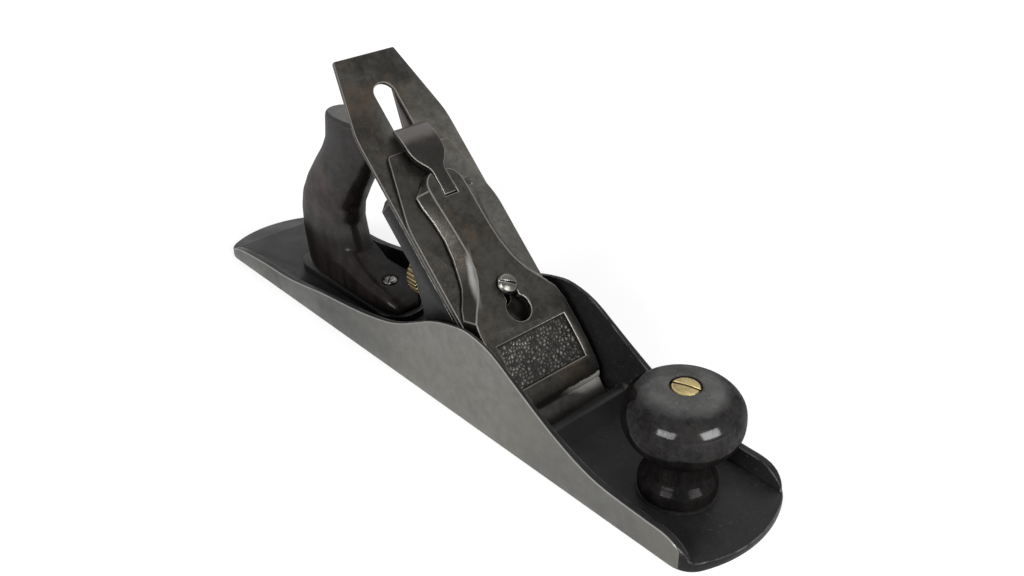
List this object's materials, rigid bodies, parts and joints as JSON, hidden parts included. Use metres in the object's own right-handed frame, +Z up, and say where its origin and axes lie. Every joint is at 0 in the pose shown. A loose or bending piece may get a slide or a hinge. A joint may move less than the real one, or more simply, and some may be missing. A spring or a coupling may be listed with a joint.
{
  "type": "bench plane",
  "caption": "Iron jack-size bench plane: sole casting, inclined-seat frog, cutter with lever cap and adjusters, turned knob and shaped handle.",
  "frame": {"origin": "centre of the sole's footprint, on the face that slides on the work", "axes": "+X toward the toe, +Y to the plane's left, +Z up"},
  "size_m": [0.3556, 0.0624, 0.1361],
  "materials": {
    "sole_iron": "ground, satin, mottled with age; japanned black inside",
    "japanned": "worn black japanning, semi-gloss",
    "aged_steel": "browned steel with paler rubbed edges",
    "screw_steel": "oiled dark steel",
    "bright_steel": "polished",
    "dark_steel": "dark blued steel",
    "brass": "dull brass with bright rubbed faces",
    "stained_wood": "black stained rosewood, gloss varnish, worn"
  },
  "bodies": {
    "sole": {"sole_casting": "sole_iron", "front_knob": "stained_wood", "knob_nut": "brass", "knob_bolt": "screw_steel", "handle": "stained_wood", "handle_nut": "brass", "handle_bolt": "screw_steel", "handle_toe_screw": "bright_steel", "frog_screw_right": "screw_steel", "frog_screw_left": "screw_steel", "frog_washer_right": "screw_steel", "frog_washer_left": "screw_steel"},
    "frog": {"frog": "japanned", "lever_cap_screw": "bright_steel", "lateral_pivot": "bright_steel", "frog_adjusting_clip": "screw_steel", "frog_clip_screw": "screw_steel", "yoke_pin": "screw_steel", "depth_stud": "screw_steel"},
    "frog_adjusting_screw": {"frog_adjusting_screw": "screw_steel"},
    "depth_collar": {"depth_collar": "brass"},
    "depth_wheel": {"depth_wheel": "brass"},
    "yoke": {"yoke": "japanned"},
    "cap_iron_screw": {"cap_iron_screw": "screw_steel"},
    "cutter_and_cap_iron": {"cutter": "aged_steel", "cap_iron": "aged_steel"},
    "lateral_lever": {"lateral_lever": "dark_steel", "lateral_roller": "bright_steel"},
    "lever_cap": {"lever_cap": "aged_steel", "lever_cap_spring": "dark_steel", "spring_rivet": "screw_steel", "cam_pin": "screw_steel"},
    "cam_lever": {"cam_lever": "dark_steel"}
  },
  "joints": [
    {"name": "frog_slide", "type": "slide", "parent": "sole", "child": "frog", "axis": [0.9903, 0, -0.1392], "range_m": [-0.001, 0.001]},
    {"name": "frog_adjusting_screw_turn", "type": "hinge", "parent": "frog", "child": "frog_adjusting_screw", "pos_m": [0.014, 0, 0.00821], "axis": [-0.9903, 0, 0.1392], "range_deg": [-285, 285]},
    {"name": "cutter_depth", "type": "slide", "parent": "frog", "child": "cap_iron_screw", "axis": [0.7071, 0, -0.7071], "range_m": [-0.003, 0.0015]},
    {"name": "cutter_tilt", "type": "hinge", "parent": "cap_iron_screw", "child": "cutter_and_cap_iron", "pos_m": [0.04609, 0, 0.03111], "axis": [0.7071, 0, 0.7071], "range_deg": [-1.39, 0.23]},
    {"name": "lateral_swing", "type": "hinge", "parent": "frog", "child": "lateral_lever", "pos_m": [-0.0027, 0, 0.0799], "axis": [0.7071, 0, 0.7071], "range_deg": [-2, 12]},
    {"name": "yoke_rock", "type": "hinge", "parent": "frog", "child": "yoke", "pos_m": [0.003, 0, 0.058], "axis": [0, 1, 0], "range_deg": [-11.8, 5.9]},
    {"name": "collar_slide", "type": "slide", "parent": "frog", "child": "depth_collar", "axis": [-1, 0, 0], "range_m": [-0.0041, 0.00206]},
    {"name": "depth_wheel_turn", "type": "hinge", "parent": "depth_collar", "child": "depth_wheel", "pos_m": [-0.0156, 0, 0.038], "axis": [-1, 0, 0], "range_deg": [-696, 1390]},
    {"name": "lever_cap_slide", "type": "slide", "parent": "frog", "child": "lever_cap", "axis": [-0.7071, 0, 0.7071], "range_m": [0, 0.0115]},
    {"name": "cam_lever_open", "type": "hinge", "parent": "lever_cap", "child": "cam_lever", "pos_m": [0.00041, 0, 0.08726], "axis": [0, 1, 0], "range_deg": [0, 110]}
  ],
  "couplings": [
    {"joint": "frog_adjusting_screw_turn", "follows": "frog_slide", "rad_per_m": 4947.4},
    {"joint": "yoke_rock", "follows": "cutter_depth", "rad_per_m": 68.027},
    {"joint": "collar_slide", "follows": "cutter_depth", "ratio": 1.3605},
    {"joint": "depth_wheel_turn", "follows": "cutter_depth", "rad_per_m": -8079.7},
    {"joint": "lateral_swing", "follows": "cutter_tilt", "ratio": -8.615}
  ]
}
